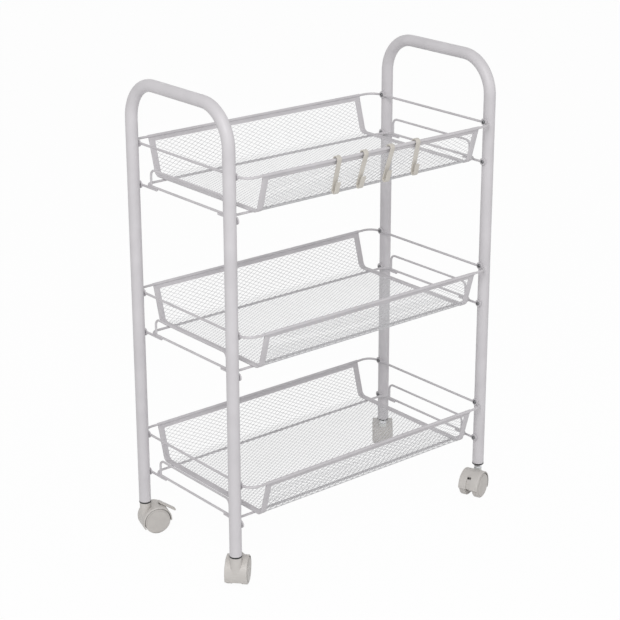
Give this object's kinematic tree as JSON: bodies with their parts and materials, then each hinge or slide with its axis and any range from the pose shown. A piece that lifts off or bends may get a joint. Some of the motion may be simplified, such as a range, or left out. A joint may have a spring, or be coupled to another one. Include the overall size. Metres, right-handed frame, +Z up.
{
  "type": "rolling utility cart",
  "caption": "Slim rolling storage cart: bent-tube end frames carry open mesh baskets on wire frames, with swivel casters under the legs, foot brakes and slip-on hooks.",
  "frame": {"origin": "on the floor, midway between the four legs", "axes": "+X along the long side from the braked left end to the right end, +Y to the back, +Z up"},
  "size_m": [0.4811, 0.2644, 0.639],
  "materials": {
    "white_paint": "satin powder coat",
    "mesh_paint": "satin powder coat on fine mesh",
    "zinc_steel": "bright zinc plate",
    "black_plastic": "matte moulded",
    "grey_plastic": "fine satin moulded",
    "wheel_plastic": "satin moulded",
    "hook_plastic": "soft gloss moulded"
  },
  "bodies": {
    "cart": {"end_frame_left": "white_paint", "end_frame_right": "white_paint", "leg_plugs": "black_plastic", "rim_wire_bottom": "white_paint", "base_frame_bottom": "white_paint", "mesh_tray_bottom": "mesh_paint", "front_band_bottom": "white_paint", "back_band_bottom": "white_paint", "basket_screws_bottom": "zinc_steel", "end_strip_bottom_left": "white_paint", "guard_wire_bottom_left": "white_paint", "end_strip_bottom_right": "white_paint", "guard_wire_bottom_right": "white_paint", "rim_wire_middle": "white_paint", "base_frame_middle": "white_paint", "mesh_tray_middle": "mesh_paint", "front_band_middle": "white_paint", "back_band_middle": "white_paint", "basket_screws_middle": "zinc_steel", "end_strip_middle_left": "white_paint", "guard_wire_middle_left": "white_paint", "end_strip_middle_right": "white_paint", "guard_wire_middle_right": "white_paint", "rim_wire_top": "white_paint", "base_frame_top": "white_paint", "mesh_tray_top": "mesh_paint", "front_band_top": "white_paint", "back_band_top": "white_paint", "basket_screws_top": "zinc_steel", "end_strip_top_left": "white_paint", "guard_wire_top_left": "white_paint", "end_strip_top_right": "white_paint", "guard_wire_top_right": "white_paint", "stem_left_back": "zinc_steel", "stem_left_front": "zinc_steel", "stem_right_back": "zinc_steel", "stem_right_front": "zinc_steel"},
    "caster_left_back": {"hood_left_back": "grey_plastic", "axle_left_back": "zinc_steel"},
    "wheel_left_back_a": {"wheel_left_back_a": "wheel_plastic"},
    "wheel_left_back_b": {"wheel_left_back_b": "wheel_plastic"},
    "brake_lever_left_back": {"brake_lever_left_back": "grey_plastic"},
    "caster_left_front": {"hood_left_front": "grey_plastic", "axle_left_front": "zinc_steel"},
    "wheel_left_front_a": {"wheel_left_front_a": "wheel_plastic"},
    "wheel_left_front_b": {"wheel_left_front_b": "wheel_plastic"},
    "brake_lever_left_front": {"brake_lever_left_front": "grey_plastic"},
    "caster_right_back": {"hood_right_back": "grey_plastic", "axle_right_back": "zinc_steel"},
    "wheel_right_back_a": {"wheel_right_back_a": "wheel_plastic"},
    "wheel_right_back_b": {"wheel_right_back_b": "wheel_plastic"},
    "caster_right_front": {"hood_right_front": "grey_plastic", "axle_right_front": "zinc_steel"},
    "wheel_right_front_a": {"wheel_right_front_a": "wheel_plastic"},
    "wheel_right_front_b": {"wheel_right_front_b": "wheel_plastic"},
    "hook_1": {"hook_1": "hook_plastic"},
    "hook_2": {"hook_2": "hook_plastic"},
    "hook_3": {"hook_3": "hook_plastic"},
    "hook_4": {"hook_4": "hook_plastic"}
  },
  "joints": [
    {"name": "swivel_left_back", "type": "hinge", "parent": "cart", "child": "caster_left_back", "pos_m": [-0.217, 0.102, 0.03], "axis": [0, 0, 1], "continuous": true},
    {"name": "roll_left_back_a", "type": "hinge", "parent": "caster_left_back", "child": "wheel_left_back_a", "pos_m": [-0.20457, 0.0982, 0.018], "axis": [0.2924, 0.9563, 0], "continuous": true},
    {"name": "roll_left_back_b", "type": "hinge", "parent": "caster_left_back", "child": "wheel_left_back_b", "pos_m": [-0.20457, 0.0982, 0.018], "axis": [0.2924, 0.9563, 0], "continuous": true},
    {"name": "brake_left_back", "type": "hinge", "parent": "caster_left_back", "child": "brake_lever_left_back", "pos_m": [-0.19711, 0.09592, 0.02914], "axis": [0.2924, 0.9563, 0], "range_deg": [0, 12]},
    {"name": "swivel_left_front", "type": "hinge", "parent": "cart", "child": "caster_left_front", "pos_m": [-0.217, -0.102, 0.03], "axis": [0, 0, 1], "continuous": true},
    {"name": "roll_left_front_a", "type": "hinge", "parent": "caster_left_front", "child": "wheel_left_front_a", "pos_m": [-0.20749, -0.09313, 0.018], "axis": [-0.682, 0.7314, 0], "continuous": true},
    {"name": "roll_left_front_b", "type": "hinge", "parent": "caster_left_front", "child": "wheel_left_front_b", "pos_m": [-0.20749, -0.09313, 0.018], "axis": [-0.682, 0.7314, 0], "continuous": true},
    {"name": "brake_left_front", "type": "hinge", "parent": "caster_left_front", "child": "brake_lever_left_front", "pos_m": [-0.20179, -0.08781, 0.02914], "axis": [-0.682, 0.7314, 0], "range_deg": [0, 12]},
    {"name": "swivel_right_back", "type": "hinge", "parent": "cart", "child": "caster_right_back", "pos_m": [0.217, 0.102, 0.03], "axis": [0, 0, 1], "continuous": true},
    {"name": "roll_right_back_a", "type": "hinge", "parent": "caster_right_back", "child": "wheel_right_back_a", "pos_m": [0.22536, 0.11196, 0.018], "axis": [-0.766, 0.6428, 0], "continuous": true},
    {"name": "roll_right_back_b", "type": "hinge", "parent": "caster_right_back", "child": "wheel_right_back_b", "pos_m": [0.22536, 0.11196, 0.018], "axis": [-0.766, 0.6428, 0], "continuous": true},
    {"name": "swivel_right_front", "type": "hinge", "parent": "cart", "child": "caster_right_front", "pos_m": [0.217, -0.102, 0.03], "axis": [0, 0, 1], "continuous": true},
    {"name": "roll_right_front_a", "type": "hinge", "parent": "caster_right_front", "child": "wheel_right_front_a", "pos_m": [0.20478, -0.10645, 0.018], "axis": [0.342, -0.9397, 0], "continuous": true},
    {"name": "roll_right_front_b", "type": "hinge", "parent": "caster_right_front", "child": "wheel_right_front_b", "pos_m": [0.20478, -0.10645, 0.018], "axis": [0.342, -0.9397, 0], "continuous": true},
    {"name": "hook_slide_1", "type": "slide", "parent": "cart", "child": "hook_1", "axis": [1, 0, 0], "range_m": [-0.016, 0.016]},
    {"name": "hook_slide_2", "type": "slide", "parent": "cart", "child": "hook_2", "axis": [1, 0, 0], "range_m": [-0.016, 0.016]},
    {"name": "hook_slide_3", "type": "slide", "parent": "cart", "child": "hook_3", "axis": [1, 0, 0], "range_m": [-0.016, 0.016]},
    {"name": "hook_slide_4", "type": "slide", "parent": "cart", "child": "hook_4", "axis": [1, 0, 0], "range_m": [-0.016, 0.016]}
  ]
}
